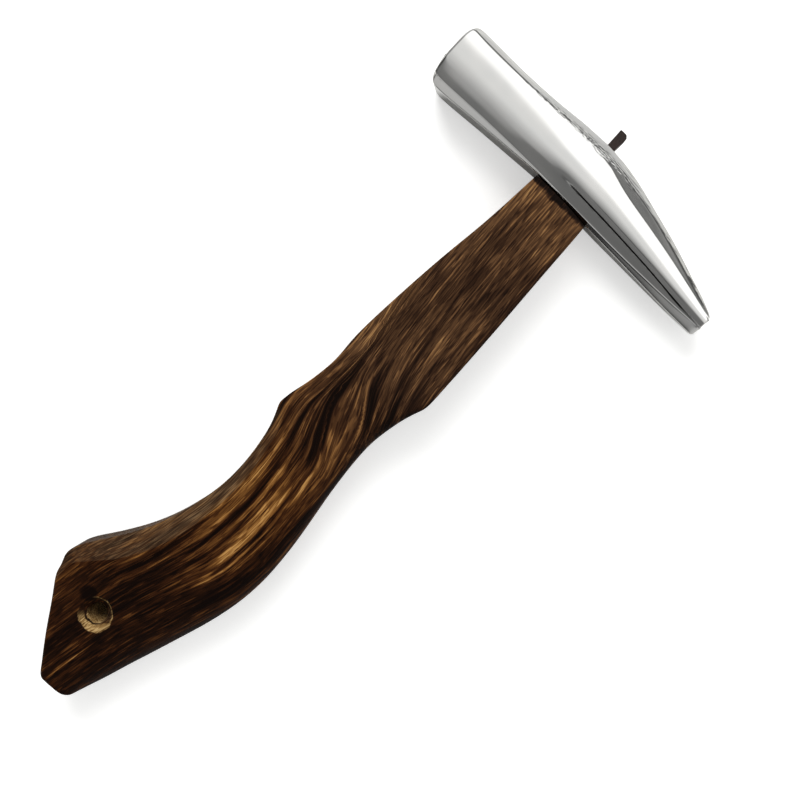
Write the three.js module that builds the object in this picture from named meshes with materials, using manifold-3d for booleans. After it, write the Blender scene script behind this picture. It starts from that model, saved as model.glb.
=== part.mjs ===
// A sheet metal worker's hammer: a one-piece polished steel head, a pistol-grip hardwood handle whose tenon
// fills the head's eye, and the wedge that spreads the tenon. It lies on its side: X runs from the striking
// face to the peen, Y from the butt to the top of the head, Z up from the flat that it lies on. All sizes are
// in millimetres.

import * as THREE from 'three';
import Module from 'manifold-3d';
import { mergeVertices } from 'three/addons/utils/BufferGeometryUtils.js';

// Clearance between pieces that touch, and how far a cut runs past the piece that it cuts
const FIT_GAP = 0.3;
const OVERRUN = 2;

// Driving dimensions of the head. The eye's centre is the place that its lengths are measured from.
const POLL_LENGTH = 56.5; // striking face to the eye's centre
const PEEN_LENGTH = 59.7; // eye's centre to the tip of the peen
const HEAD_HEIGHT = 21.4; // underside to the roof peak above the eye
const HEAD_DEPTH = 18.5; // flat to flat, across the eye
const EYE_LENGTH = 18.6; // along the head, at the underside
const EYE_WIDTH = 9.4; // across the head
const EYE_FLARE = 0.8; // how much longer the eye is at the top
const EYE_CORNER = 2.2; // radius of the eye's corners
const EYE_CORNER_STEPS = 6;

// Driving dimensions of the handle
const HANDLE_LENGTH = 232.6; // head's underside to the end of the butt
const GRIP_REACH = 35.9; // how far the butt's palm side swings from the eye's centre line
const NECK_THICKNESS = 16.2; // at the head
const GRIP_THICKNESS = HEAD_DEPTH; // the grip lies on the same flat as the head
const PALM_BEVEL = 7.4; // widest place of the bevel along the palm edge
const FINGER_ROUND = 12.8; // widest place of the round along the finger edge
const BEVEL_DEPTH_SHARE = 0.55; // depth of the palm bevel to its width
const ROUND_DEPTH_SHARE = 0.62; // depth of the finger round to its width
const TENON_SHORT = 1; // how far the tenon's end stays under the roof peak
const HOLE_BORE = 7; // hang hole
const HOLE_RIM = 12.2; // countersink at both faces
const HOLE_SINK = 2.6; // depth of each countersink

// Driving dimensions of the wedge, which is as wide as the eye
const WEDGE_LENGTH = 24;
const WEDGE_THICKNESS = 3.4; // at its driven end
const WEDGE_EDGE = 1.2; // thickness at the thin end
const WEDGE_WIDTH = EYE_WIDTH - 2 * FIT_GAP;
const WEDGE_STAND = 6.2; // how far it stands proud of the roof peak
const WEDGE_CHAMFER = 0.7;

// Cross sections of the head, from the striking face to the tip. Lengths are shares of POLL_LENGTH before
// the eye and of PEEN_LENGTH after it. The six heights are shares of HEAD_HEIGHT, from the underside up:
// under face, lower crease, lower and upper edge of the side face, upper crease, top face. The five last
// values are shares of half the depth: side face, then how far each crease and each chamfer lies below it,
// the lower one first.
const HEAD_SECTION_SHARES = [
  // along, under, crease, side from, to, crease, top, side, drops of the two creases and the two chamfers
  [-1, 0.32, 0.34, 0.42, 0.64, 0.69, 0.71, 0.62, 0.02, 0.02, 0.05, 0.05],
  [-0.99, 0.13, 0.17, 0.33, 0.7, 0.78, 0.815, 0.84, 0.03, 0.03, 0.08, 0.06],
  [-0.977, 0, 0.06, 0.27, 0.75, 0.82, 0.87, 0.95, 0.03, 0.03, 0.12, 0.12],
  [-0.957, -0.086, 0.01, 0.24, 0.77, 0.827, 0.9, 0.99, 0.03, 0.03, 0.18, 0.18],
  [-0.925, -0.13, -0.006, 0.23, 0.77, 0.82, 0.906, 1, 0.03, 0.03, 0.2, 0.2],
  [-0.865, -0.126, 0, 0.23, 0.77, 0.815, 0.906, 1, 0.03, 0.03, 0.2, 0.2],
  [-0.637, -0.078, 0.023, 0.23, 0.77, 0.813, 0.902, 1, 0.03, 0.03, 0.2, 0.2],
  [-0.354, -0.03, 0.035, 0.23, 0.78, 0.832, 0.935, 1, 0.03, 0.03, 0.18, 0.22],
  [-0.195, 0, 0.033, 0.23, 0.79, 0.85, 0.977, 1, 0.03, 0.03, 0.12, 0.25],
  [0, 0, 0.023, 0.22, 0.825, 0.857, 1, 1, 0.03, 0.03, 0.11, 0.26],
  [0.07, -0.009, 0.019, 0.213, 0.78, 0.86, 0.985, 0.995, 0.07, 0.07, 0.12, 0.25],
  [0.2, -0.045, 0.014, 0.206, 0.678, 0.808, 0.937, 0.97, 0.17, 0.13, 0.2, 0.23],
  [0.4, -0.06, 0.009, 0.182, 0.579, 0.715, 0.806, 0.885, 0.17, 0.13, 0.23, 0.19],
  [0.6, -0.076, 0.019, 0.154, 0.486, 0.575, 0.664, 0.76, 0.14, 0.1, 0.23, 0.18],
  [0.8, -0.084, 0.037, 0.112, 0.374, 0.411, 0.487, 0.59, 0.09, 0.05, 0.2, 0.14],
  [0.94, -0.08, 0.061, 0.093, 0.29, 0.312, 0.36, 0.47, 0.04, 0.03, 0.15, 0.1],
  [0.983, -0.08, 0.065, 0.089, 0.256, 0.276, 0.306, 0.43, 0.03, 0.02, 0.13, 0.08],
  [1, -0.06, 0.07, 0.093, 0.236, 0.254, 0.274, 0.37, 0.02, 0.02, 0.1, 0.06],
];

// Outline of the handle, station by station from the head to the butt. Each has a point on the palm edge
// and one on the finger edge, as shares of HANDLE_LENGTH down from the head and of GRIP_REACH off the
// eye's centre line, then the palm bevel as a share of PALM_BEVEL and the finger round as a share of
// FINGER_ROUND.
const STATION_SHARES = [
  // palm down, palm off, finger down, finger off, bevel, round
  [0, -0.292, 0, 0.314, 0.08, 0.12],
  [0.086, -0.328, 0.086, 0.352, 0.08, 0.12],
  [0.172, -0.392, 0.172, 0.389, 0.1, 0.11],
  [0.258, -0.437, 0.249, 0.422, 0.12, 0.11],
  [0.322, -0.458, 0.327, 0.447, 0.16, 0.12],
  [0.369, -0.439, 0.356, 0.381, 0.24, 0.27],
  [0.413, -0.477, 0.386, 0.34, 0.35, 0.43],
  [0.443, -0.522, 0.417, 0.316, 0.43, 0.51],
  [0.465, -0.541, 0.447, 0.317, 0.49, 0.55],
  [0.494, -0.462, 0.482, 0.336, 0.47, 0.61],
  [0.528, -0.416, 0.524, 0.373, 0.47, 0.64],
  [0.567, -0.389, 0.572, 0.426, 0.54, 0.69],
  [0.61, -0.397, 0.619, 0.471, 0.62, 0.73],
  [0.654, -0.45, 0.671, 0.493, 0.73, 0.78],
  [0.697, -0.528, 0.722, 0.472, 0.86, 0.84],
  [0.74, -0.65, 0.774, 0.405, 0.99, 0.92],
  [0.782, -0.808, 0.825, 0.31, 1, 0.98],
  [0.817, -0.953, 0.868, 0.225, 0.81, 1],
  [0.839, -1, 0.894, 0.173, 0.54, 0.98],
  [0.857, -0.959, 0.912, 0.137, 0.32, 0.94],
  [0.873, -0.924, 0.929, 0.104, 0.19, 0.9],
  [0.901, -0.802, 0.946, 0.069, 0.11, 0.86],
  [0.946, -0.621, 0.968, 0.019, 0.11, 0.78],
  [0.98, -0.467, 0.987, -0.025, 0.11, 0.62],
  [0.998, -0.384, 0.995, -0.053, 0.11, 0.4],
  [1, -0.318, 0.998, -0.114, 0.11, 0.16],
];
// Columns of the table
const [PALM_DOWN, PALM_OFF, FINGER_DOWN, FINGER_OFF, BEVEL, ROUND] = STATION_SHARES[0].keys();
const PALM_CORNER = 8; // station of the bump on the palm edge
const FINGER_CORNER = 4; // station of the bump on the finger edge
const FULL_THICKNESS = 5; // station from which the handle has the grip's thickness
const HOLE_STATION = 18.2; // place of the hang hole between the stations
const HOLE_SPAN_SHARE = 0.51; // and how far over from the palm edge it lies
const STEPS_PER_STATION = 3;
const ROUND_STEPS = 4; // flats in the finger round
const HOLE_SIDES = 32;

const wasm = await Module();
wasm.setup();

// Turns a closed geometry into a solid that can be joined and cut.
function toSolid(geometry) {
  geometry.deleteAttribute('normal');
  geometry.deleteAttribute('uv');
  const merged = mergeVertices(geometry);
  return new wasm.Manifold(new wasm.Mesh({
    numProp: 3,
    vertProperties: merged.attributes.position.array,
    triVerts: new Uint32Array(merged.index.array),
  }));
}

// Gives a solid back as a geometry.
function toGeometry(solid) {
  const mesh = solid.getMesh();
  const geometry = new THREE.BufferGeometry();
  geometry.setAttribute('position', new THREE.BufferAttribute(mesh.vertProperties, 3));
  geometry.setIndex(new THREE.BufferAttribute(mesh.triVerts, 1));
  geometry.computeVertexNormals();
  return geometry;
}

// Skins rings of equally many points, and closes both ends with a fan around the middle of the end ring.
function loft(rings) {
  const count = rings[0].length;
  const points = rings.flat();
  const faces = [];
  for (let ring = 0; ring + 1 < rings.length; ring += 1) {
    for (let side = 0; side < count; side += 1) {
      const next = (side + 1) % count;
      const a = ring * count + side;
      const b = ring * count + next;
      faces.push(a, b, b + count, a, b + count, a + count);
    }
  }
  for (const [ring, forward] of [[0, false], [rings.length - 1, true]]) {
    const middle = new THREE.Vector3();
    for (const point of rings[ring]) middle.addScaledVector(point, 1 / count);
    points.push(middle);
    const hub = points.length - 1;
    for (let side = 0; side < count; side += 1) {
      const a = ring * count + side;
      const b = ring * count + (side + 1) % count;
      faces.push(...(forward ? [hub, a, b] : [hub, b, a]));
    }
  }
  const geometry = new THREE.BufferGeometry().setFromPoints(points);
  geometry.setIndex(faces);
  return geometry;
}

// A rounded rectangle at one height, as a ring for loft.
function roundedRing(length, width, corner, height) {
  const ring = [];
  for (const [right, up, quarter] of [[1, 1, 0], [-1, 1, 1], [-1, -1, 2], [1, -1, 3]]) {
    for (let step = 0; step <= EYE_CORNER_STEPS; step += 1) {
      const angle = (quarter + step / EYE_CORNER_STEPS) * Math.PI / 2;
      const x = right * (length / 2 - corner) + corner * Math.cos(angle);
      const z = up * (width / 2 - corner) + corner * Math.sin(angle);
      ring.push(new THREE.Vector3(x, height, z));
    }
  }
  return ring.reverse();
}

// One section of the head as a ring: the near half from the top to the underside, then the far half.
function headRing([along, ...shares]) {
  const [under, lowCrease, sideLow, sideUp, highCrease, top, ...depths] = shares;
  const [side, lowDrop, highDrop, lowCut, highCut] = depths;
  const x = along * (along < 0 ? POLL_LENGTH : PEEN_LENGTH);
  const half = [
    [top, side - highDrop - highCut],
    [highCrease, side - highDrop],
    [sideUp, side],
    [sideLow, side],
    [lowCrease, side - lowDrop],
    [under, side - lowDrop - lowCut],
  ];
  const near = half.map(([y, z]) => new THREE.Vector3(x, y * HEAD_HEIGHT, z * HEAD_DEPTH / 2));
  const far = half.map(([y, z]) => new THREE.Vector3(x, y * HEAD_HEIGHT, -z * HEAD_DEPTH / 2)).reverse();
  return [...near, ...far];
}

// The eye, or with a gap all round the tenon that fills it, from one height to another.
function eyeSolid(gap, from, to) {
  const rings = [from, to].map((height) => {
    const length = EYE_LENGTH + EYE_FLARE * height / HEAD_HEIGHT;
    return roundedRing(length - 2 * gap, EYE_WIDTH - 2 * gap, EYE_CORNER - gap, height);
  });
  return toSolid(loft(rings));
}

function makeHeadBlank() {
  return toSolid(loft(HEAD_SECTION_SHARES.map(headRing)));
}

function makeHead() {
  return makeHeadBlank().subtract(eyeSolid(0, -OVERRUN, HEAD_HEIGHT + OVERRUN));
}

// The wedge, or with a gap all round the kerf that it goes in, as a ring at one height.
const WEDGE_TOP = HEAD_HEIGHT + WEDGE_STAND;
const WEDGE_BOTTOM = WEDGE_TOP - WEDGE_LENGTH;
function wedgeRing(height, gap) {
  const rise = (height - WEDGE_BOTTOM) / WEDGE_LENGTH;
  const x = THREE.MathUtils.lerp(WEDGE_EDGE, WEDGE_THICKNESS, rise) / 2 + gap;
  const z = WEDGE_WIDTH / 2 + gap;
  return [[-x, -z], [-x, z], [x, z], [x, -z]].map((place) => new THREE.Vector3(place[0], height, place[1]));
}

function makeWedge() {
  const rings = [
    wedgeRing(WEDGE_BOTTOM, 0),
    wedgeRing(WEDGE_TOP - WEDGE_CHAMFER, 0),
    wedgeRing(WEDGE_TOP, -WEDGE_CHAMFER),
  ];
  return toSolid(loft(rings));
}

function kerfSolid() {
  const foot = wedgeRing(WEDGE_BOTTOM - FIT_GAP, FIT_GAP);
  const mouth = wedgeRing(HEAD_HEIGHT + OVERRUN, FIT_GAP);
  return toSolid(loft([foot, mouth]));
}

// One edge of the handle as points, with a corner at one station and smooth curves before and after it.
function edgeCurve(down, off, corner) {
  const points = STATION_SHARES.map((row) => (
    new THREE.Vector3(row[off] * GRIP_REACH, -row[down] * HANDLE_LENGTH, 0)));
  const before = new THREE.CatmullRomCurve3(points.slice(0, corner + 1));
  const after = new THREE.CatmullRomCurve3(points.slice(corner));
  return (station) => (station <= corner
    ? before.getPoint(station / corner)
    : after.getPoint((station - corner) / (points.length - 1 - corner)));
}

const palmEdge = edgeCurve(PALM_DOWN, PALM_OFF, PALM_CORNER);
const fingerEdge = edgeCurve(FINGER_DOWN, FINGER_OFF, FINGER_CORNER);

// A value from the station table, between two stations by a straight line.
function stationValue(column, station) {
  const low = Math.min(Math.floor(station), STATION_SHARES.length - 2);
  return THREE.MathUtils.lerp(STATION_SHARES[low][column], STATION_SHARES[low + 1][column], station - low);
}

// One section of the handle as a ring: palm bevels at one end, finger rounds at the other.
function handleRing(station) {
  const palm = palmEdge(station);
  const finger = fingerEdge(station);
  const span = palm.distanceTo(finger);
  const bevel = stationValue(BEVEL, station) * PALM_BEVEL;
  const round = stationValue(ROUND, station) * FINGER_ROUND;
  const grown = Math.min(station / FULL_THICKNESS, 1);
  const half = THREE.MathUtils.lerp(NECK_THICKNESS, GRIP_THICKNESS, grown) / 2;
  const upper = [
    [0, half - bevel * BEVEL_DEPTH_SHARE],
    [bevel, half],
  ];
  for (let step = 0; step <= ROUND_STEPS; step += 1) {
    const angle = Math.PI / 2 * (1 - step / ROUND_STEPS);
    const across = span - round * (1 - Math.cos(angle));
    const height = half - round * ROUND_DEPTH_SHARE * (1 - Math.sin(angle));
    upper.push([across, height]);
  }
  const lower = upper.map(([across, height]) => [across, -height]).reverse();
  return [...upper, ...lower].reverse().map(([across, height]) => {
    const point = palm.clone().lerp(finger, across / span);
    return new THREE.Vector3(point.x, point.y, height);
  });
}

// The hang hole: a bore with a cone at both faces that runs on past them, turned about its own axis.
function holeSolid() {
  const [bore, rim] = [HOLE_BORE / 2, HOLE_RIM / 2];
  const neck = GRIP_THICKNESS / 2 - HOLE_SINK;
  const mouth = GRIP_THICKNESS / 2 + OVERRUN;
  const wide = rim + (rim - bore) * OVERRUN / HOLE_SINK;
  const profile = [
    [0, -mouth],
    [wide, -mouth],
    [bore, -neck],
    [bore, neck],
    [wide, mouth],
    [0, mouth],
  ].map(([radius, height]) => new THREE.Vector2(radius, height));
  const turned = new THREE.LatheGeometry(profile, HOLE_SIDES);
  turned.rotateX(Math.PI / 2);
  const centre = palmEdge(HOLE_STATION).lerp(fingerEdge(HOLE_STATION), HOLE_SPAN_SHARE);
  turned.translate(centre.x, centre.y, 0);
  return toSolid(turned);
}

function makeHandle() {
  const rings = [];
  for (let step = 0; step <= (STATION_SHARES.length - 1) * STEPS_PER_STATION; step += 1) {
    rings.push(handleRing(step / STEPS_PER_STATION));
  }
  const neckTop = rings[0].map((point) => point.clone().setY(OVERRUN));
  const seat = makeHeadBlank().translate([0, -FIT_GAP, 0]);
  return toSolid(loft([neckTop, ...rings]))
    .subtract(seat)
    .add(eyeSolid(FIT_GAP, -OVERRUN, HEAD_HEIGHT - TENON_SHORT))
    .subtract(kerfSolid())
    .subtract(holeSolid());
}

const polishedSteel = new THREE.MeshStandardMaterial({ color: 0xd2d2d0, roughness: 0.08, metalness: 1 });
const darkHardwood = new THREE.MeshStandardMaterial({ color: 0x4a3020, roughness: 0.55, metalness: 0 });
const blackenedSteel = new THREE.MeshStandardMaterial({ color: 0x2b2221, roughness: 0.5, metalness: 0.6 });

const hammer = new THREE.Group();
function addPiece(name, solid, material) {
  const mesh = new THREE.Mesh(toGeometry(solid), material);
  mesh.name = name;
  hammer.add(mesh);
}
addPiece('head', makeHead(), polishedSteel);
addPiece('handle', makeHandle(), darkHardwood);
addPiece('wedge', makeWedge(), blackenedSteel);

// The origin is the middle of the flat that the hammer lies on.
const box = new THREE.Box3().setFromObject(hammer);
hammer.position.set(-(box.min.x + box.max.x) / 2, -(box.min.y + box.max.y) / 2, -box.min.z);

export default hammer;
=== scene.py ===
# %% [markdown]
# A sheet metal worker's hammer, lying on its side on a pale floor. It has a mirror polished steel head, a handle of
# dark hardwood and a small steel wedge that locks the two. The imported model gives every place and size, and the
# pieces made here stand in its frame, in metres: X from the striking face to the peen, Y from the butt to the top of
# the head, Z up.

# %% Load the frame
import math

import bmesh
import bpy
import numpy as np
from mathutils import Matrix, Vector


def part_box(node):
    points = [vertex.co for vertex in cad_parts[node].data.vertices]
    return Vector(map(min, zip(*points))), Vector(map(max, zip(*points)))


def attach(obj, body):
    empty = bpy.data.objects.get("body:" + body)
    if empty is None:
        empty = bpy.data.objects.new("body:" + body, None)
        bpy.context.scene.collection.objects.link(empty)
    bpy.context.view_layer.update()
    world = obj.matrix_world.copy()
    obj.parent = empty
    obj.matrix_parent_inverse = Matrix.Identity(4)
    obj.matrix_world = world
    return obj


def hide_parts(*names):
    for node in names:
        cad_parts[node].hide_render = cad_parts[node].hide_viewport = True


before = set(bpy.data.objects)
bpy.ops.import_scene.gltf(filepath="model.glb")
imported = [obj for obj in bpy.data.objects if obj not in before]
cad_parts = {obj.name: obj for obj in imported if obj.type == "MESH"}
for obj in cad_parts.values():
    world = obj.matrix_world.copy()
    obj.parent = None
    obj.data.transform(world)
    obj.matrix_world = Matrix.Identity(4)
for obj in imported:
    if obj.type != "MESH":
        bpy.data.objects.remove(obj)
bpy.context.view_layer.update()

MM = 0.001

# %% [markdown]
# The eye is the hole in the head that the handle's tenon fills. A smith measures the head from it, so its centre at
# the underside is the place that all sections below are measured from. The wedge stands in its middle, which gives
# X, the head's top gives Y, and the hammer's mid plane gives Z.

# %% The eye's centre
HEAD_HEIGHT = 21.4 * MM
head_low, head_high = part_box("head")
wedge_low, wedge_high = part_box("wedge")
eye = Vector(((wedge_low.x + wedge_high.x) / 2, head_high.y - HEAD_HEIGHT, (head_low.z + head_high.z) / 2))
to_row = Matrix.Translation(eye) @ Matrix.Scale(MM, 4)
print("eye centre in mm:", [round(v / MM, 2) for v in eye])


# %% [markdown]
# Four small helpers serve all pieces. The first turns a bmesh, shaped in millimetres round the eye, into an object
# in the row frame. The second reads a smooth curve through a table of uneven places, because a ground facet has no
# corners where a table happens to have a row. The third subdivides a piece, and the fourth writes what the modifiers
# make of a piece into its mesh for good.

# %% Helpers for shapes
def place(bm, name):
    """Moves a bmesh made in millimetres round the eye into the row frame, and makes its object."""
    bmesh.ops.recalc_face_normals(bm, faces=bm.faces)
    bmesh.ops.transform(bm, matrix=to_row, verts=bm.verts)
    mesh = bpy.data.meshes.new(name)
    bm.to_mesh(mesh)
    bm.free()
    made = bpy.data.objects.new(name, mesh)
    bpy.context.scene.collection.objects.link(made)
    return made


def curve_at(places, values, place_wanted):
    """Reads a curve that runs smoothly through the values at uneven places."""
    places, values = np.asarray(places, float), np.asarray(values, float)
    slopes = np.gradient(values, places)
    left = np.clip(np.searchsorted(places, place_wanted) - 1, 0, len(places) - 2)
    step = places[left + 1] - places[left]
    t = (place_wanted - places[left]) / step
    rise = values[left + 1] - values[left]
    bend_in = slopes[left] * step - rise
    bend_out = rise - slopes[left + 1] * step
    return values[left] + t * rise + t * (1 - t) * ((1 - t) * bend_in + t * bend_out)


def subdivide(made):
    """Lets an object's facets and rounds flow into each other."""
    rounding = made.modifiers.new("rounding", "SUBSURF")
    rounding.levels = 2
    rounding.render_levels = 2


def write_modifiers(made):
    """Replaces an object's mesh with what its modifiers make of it, and drops the modifiers."""
    bpy.context.view_layer.update()
    graph = bpy.context.evaluated_depsgraph_get()
    finished = bpy.data.meshes.new_from_object(made.evaluated_get(graph))
    made.modifiers.clear()
    made.data = finished


# %% [markdown]
# The head is one forging: a square poll with chamfered corners, and a peen that tapers to a blunt tip with extra
# ground facets. It could be a box with cuts, but its facets change along its whole length. So half of one section is
# laid down as a chain of vertices and extruded from section to section, and the half is mirrored in the mid plane.

# %% Sections of the head
# Heights and half depths in millimetres at each place along the head, from the face to the tip
HEAD_SECTIONS = [
    # along; heights: under, low crease, side from, to, high crease, top; depths: under, low crease, crown, high
    # crease, top; height of the crown; degrees: bend of the side for each mm, most tilt below the crown, tilt of the
    # strip along its lower edge; slope of the step at that edge; height of the step at the low crease
    (-56.5, 5.9, 6.5, 8.6, 13.7, 14.8, 15.2, 7.40, 8.30, 8.75, 8.35, 7.50, 9.0, 0.79, 20, 0, 0.02, 0.15),
    (-55.9, 1.9, 2.9, 6.8, 15.0, 16.7, 17.4, 7.50, 8.55, 9.08, 8.60, 7.50, 9.0, 0.79, 20, 1, 0.03, 0.15),
    (-55.2, -0.6, 0.9, 5.6, 16.0, 17.5, 18.6, 7.45, 8.65, 9.20, 8.70, 7.35, 9.0, 0.79, 20, 2.1, 0.05, 0.2),
    (-54.1, -2.1, 0.1, 5.0, 16.5, 17.7, 19.3, 7.20, 8.67, 9.24, 8.75, 7.19, 9.0, 0.79, 20, 2.6, 0.06, 0.2),
    (-52.3, -2.8, -0.1, 4.9, 16.5, 17.5, 19.4, 7.01, 8.68, 9.25, 8.77, 7.12, 9.0, 0.79, 20, 2.8, 0.06, 0.2),
    (-48.9, -2.7, 0.0, 4.9, 16.5, 17.4, 19.4, 7.03, 8.70, 9.25, 8.76, 7.11, 9.0, 0.79, 20, 2.8, 0.06, 0.2),
    (-36.0, -1.7, 0.5, 4.9, 16.5, 17.4, 19.3, 7.35, 8.72, 9.25, 8.74, 7.10, 9.0, 0.85, 20, 3, 0.07, 0.2),
    (-20.0, -0.6, 0.7, 4.9, 16.7, 17.8, 20.0, 7.84, 8.68, 9.25, 8.59, 6.84, 8.7, 1.03, 20, 3.3, 0.07, 0.2),
    (-11.0, 0.0, 0.7, 4.9, 16.9, 18.2, 20.9, 7.99, 8.48, 9.25, 8.44, 6.44, 8.7, 1.39, 20, 4.4, 0.1, 0.2),
    (-4.6, 0.0, 0.6, 5.0, 17.2, 18.3, 21.2, 7.69, 8.12, 9.25, 8.25, 6.25, 8.9, 1.90, 7, 6.3, 0.14, 0.2),
    (0.0, 0.0, 0.5, 4.8, 17.3, 18.3, 21.4, 6.95, 7.38, 9.25, 8.16, 6.18, 8.9, 2.03, 5, 8, 0.95, 0.30),
    (4.2, -0.2, 0.4, 4.6, 16.7, 18.4, 21.1, 6.64, 7.23, 9.20, 7.89, 5.91, 8.8, 2.08, 4.5, 8.5, 0.95, 0.40),
    (11.9, -1.0, 0.3, 4.4, 14.5, 17.3, 20.1, 5.78, 6.96, 8.97, 7.52, 5.39, 8.5, 2.48, 4.5, 8.5, 0.95, 0.40),
    (23.9, -1.3, 0.2, 3.9, 12.4, 15.3, 17.2, 5.04, 6.31, 8.19, 6.72, 4.97, 7.4, 3.27, 4.2, 9, 0.95, 0.40),
    (35.8, -1.6, 0.4, 3.3, 10.4, 12.3, 14.2, 3.79, 5.46, 7.03, 5.84, 4.17, 6.1, 4.16, 4.5, 9, 0.95, 0.40),
    (47.8, -1.8, 0.8, 2.4, 8.0, 8.8, 10.4, 2.25, 4.39, 5.46, 4.79, 3.50, 4.9, 6.19, 6, 12, 0.95, 0.35),
    (56.1, -1.7, 1.3, 2.0, 6.2, 6.7, 7.7, 1.29, 3.73, 4.35, 3.93, 3.00, 4.1, 8.31, 8, 14, 0.95, 0.25),
    (58.7, -1.7, 1.4, 1.9, 5.5, 5.9, 6.5, 1.00, 3.51, 3.98, 3.71, 2.97, 3.9, 8.64, 8, 14, 0.9, 0.20),
    (59.7, -1.3, 1.5, 2.0, 5.1, 5.4, 5.9, 0.74, 2.99, 3.42, 3.18, 2.62, 3.8, 8.76, 8, 14, 0.8, 0.12),
]
HEAD_TABLE = np.array(HEAD_SECTIONS).T
ALONG, UNDER_HEIGHT, EDGE_HEIGHT, CREASE_HEIGHT = 0, 1, 3, 5  # rows of the table that are read on their own
EYE_HALF_LENGTH = 9.3
EYE_HALF_WIDTH = 4.7
EYE_OF_TOP, EYE_OF_UNDER = 0.6, 0.9  # the eye's edge stays within these shares of the half depths
SIDE_SHARES = (1, 0.66, 0.33, 0)  # places of the lines between the side's upper edge and its crown
TILT_ABOVE = 9  # degrees, the most that the side tilts above its crown
STRIP = 1.25  # width of the strip along the side's lower edge
STRIP_CLEAR = 0.3  # how far the strip stays below the crown
EDGE_STEP = 0.65
EDGE_STEP_SHARE = 0.3  # of the facet below it, at most
REAL_STEP = 0.5  # a step less steep than this only follows the bend of the side
LOW_STRIP = 2.2  # the poll is flattened this far above its low crease
LOW_STRIP_TILT = math.radians(6.8)


def side_drop(rise, bend, most):
    """How far the side has dropped at a height above or below its crown. It bends up to its most tilt."""
    bend, most = math.radians(bend), math.radians(most)
    return most ** 2 / bend * math.log(math.cosh(bend * rise / most))


def head_chain(along):
    """Half a section as (height, depth) pairs, from the middle of the top to the middle of the underside."""
    read = [curve_at(HEAD_TABLE[ALONG], values, along) for values in HEAD_TABLE[1:]]
    under, low_crease, side_low, side_up, high_crease, top = read[:6]
    d_under, d_low, d_crown, d_high, d_top, crown, bend, tilt_below, tilt_strip, steep, low_step = read[6:]
    eye_edge = min(EYE_HALF_WIDTH, EYE_OF_TOP * d_top, EYE_OF_UNDER * d_under)
    chain = [(top, 0), (top, eye_edge), (top, d_top), (high_crease, d_high)]
    for share in SIDE_SHARES:
        rise = (side_up - crown) * share
        chain.append((crown + rise, d_crown - side_drop(rise, bend, TILT_ABOVE)))
    strip = min(side_low + STRIP, crown - STRIP_CLEAR)
    for share in (0.5, 1):
        rise = (strip - crown) * share
        chain.append((crown + rise, d_crown - side_drop(rise, bend, tilt_below)))
    d_side_low = chain[-1][1] - (strip - side_low) * math.tan(math.radians(tilt_strip))
    step = min(EDGE_STEP, EDGE_STEP_SHARE * (side_low - low_crease))
    d_step = d_side_low - step * steep
    reach = side_low - step - low_crease
    rise = min(LOW_STRIP, reach / 2)
    slope = math.tan(LOW_STRIP_TILT) if steep < REAL_STEP else (d_step - d_low) / reach
    chain += [(side_low, d_side_low), (side_low - step, d_step), (low_crease + rise, d_low + rise * slope)]
    chain += [(low_crease, d_low), (low_crease - low_step, d_low - low_step), (under, d_under), (under, eye_edge),
              (under, 0)]
    return chain


# Places in the chain of the vertices that run along the head as its creases
TOP, HIGH_CREASE, SIDE_UP, SIDE_LOW, SIDE_STEP, LOW_CREASE, LOW_STEP, UNDER = 2, 3, 4, 10, 11, 13, 14, 15
print("vertices in half a section:", len(head_chain(0.0)))

# %% [markdown]
# Near the face and near the tip the sections are used as they stand in the table. Between those and the eye they are
# spread evenly, and the eye has rows of its own, so that its two ends fall on rows.

# %% Places of the sections
FACE_ROWS, TIP_ROWS = 6, 3  # how many of the table's places are used as they are, at the face and at the tip
ROW_SPACING = 4.0
EYE_SUPPORT = 2.2  # how far from the eye's ends the next rows lie


def spread(start, end):
    """Places about a row's spacing apart, from start to end."""
    return np.linspace(start, end, round((end - start) / ROW_SPACING) + 1)


face_rows = HEAD_TABLE[ALONG][:FACE_ROWS]
tip_rows = HEAD_TABLE[ALONG][-TIP_ROWS:]
eye_rows = [-EYE_HALF_LENGTH - EYE_SUPPORT, -EYE_HALF_LENGTH, -EYE_HALF_LENGTH / 2, 0,
            EYE_HALF_LENGTH / 2, EYE_HALF_LENGTH, EYE_HALF_LENGTH + EYE_SUPPORT]
poll_rows = spread(face_rows[-1], eye_rows[0])
peen_rows = spread(eye_rows[-1], tip_rows[0])
head_rows = [*face_rows[:-1], *poll_rows[:-1], *eye_rows, *peen_rows[1:], *tip_rows[1:]]
print("head sections:", len(head_rows))


# %% [markdown]
# One helper lays the first chain and extrudes it. Each vertex carries the number of its column, so that a new row
# finds its place, and a whole crease can be picked later by its number. The others mirror and close a block, and
# round the creases that are picked.

# %% Helpers for extruded blocks
MERGE = 1e-4  # vertices closer than this are one
SIDES_OF_AN_END = 7  # only the two end faces of a block have that many sides or more


def extrude_chain(bm, rows, column):
    """Lays the first row of points as a chain of edges, and extrudes it to each following row."""
    verts = []
    for number, point in enumerate(rows[0]):
        vert = bm.verts.new(point)
        vert[column] = number
        verts.append(vert)
    edges = [bm.edges.new(pair) for pair in zip(verts, verts[1:])]
    ends = [verts]
    for points in rows[1:]:
        made = bmesh.ops.extrude_edge_only(bm, edges=edges)["geom"]
        verts = sorted((g for g in made if isinstance(g, bmesh.types.BMVert)), key=lambda vert: vert[column])
        edges = [g for g in made if isinstance(g, bmesh.types.BMEdge) and g.verts[0] in verts and g.verts[1] in verts]
        for vert in verts:
            vert.co = points[vert[column]]
    ends.append(verts)
    return ends


def column_edges(bm, column, numbers, wanted=lambda edge: True):
    """The edges that run along the given columns."""
    return [edge for edge in bm.edges if edge.verts[0][column] == edge.verts[1][column]
            and edge.verts[0][column] in numbers and wanted(edge)]


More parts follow.
